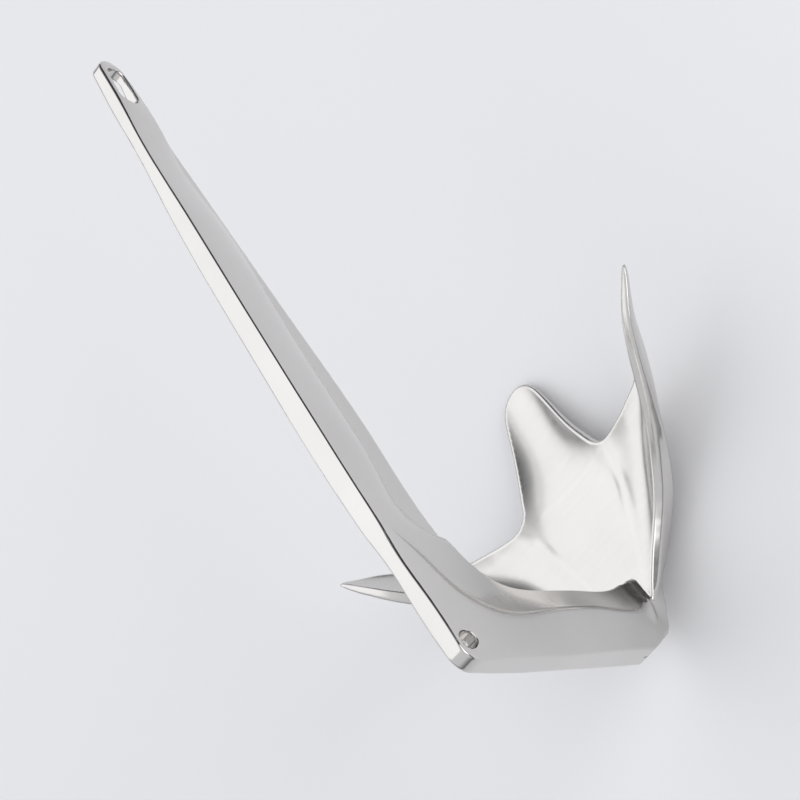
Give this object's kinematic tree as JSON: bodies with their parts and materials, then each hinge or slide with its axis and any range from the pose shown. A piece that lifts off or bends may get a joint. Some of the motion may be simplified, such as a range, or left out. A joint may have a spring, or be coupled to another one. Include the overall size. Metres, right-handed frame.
{
  "type": "boat anchor",
  "caption": "Polished stainless claw anchor: a tapered shank with a slotted shackle eye, a crown with a trip line hole, and a scoop-shaped claw with two side flukes and a toe.",
  "frame": {"origin": "centre of the trip line hole in the crown, on the plane of symmetry", "axes": "+X along the shank from the crown to the shackle slot, +Y to port across the flukes, +Z from the flukes up to the shank"},
  "size_m": [0.5637, 0.3398, 0.2709],
  "materials": {
    "polished_bar": "stainless steel bar, mirror polished",
    "polished_plate": "stainless steel plate, mirror polished, with faint polishing lines",
    "dressed_weld": "stainless steel weld, ground flush and polished with its neighbours"
  },
  "bodies": {
    "root": {"shank": "polished_bar", "shank_weld": "dressed_weld", "crown": "polished_bar", "arm_weld": "dressed_weld", "arm": "polished_bar", "foot_weld": "dressed_weld", "palm": "polished_plate", "toe_weld": "dressed_weld", "centre_fluke": "polished_plate", "port_weld": "dressed_weld", "starboard_weld": "dressed_weld", "port_fluke": "polished_plate", "starboard_fluke": "polished_plate"}
  },
  "joints": []
}
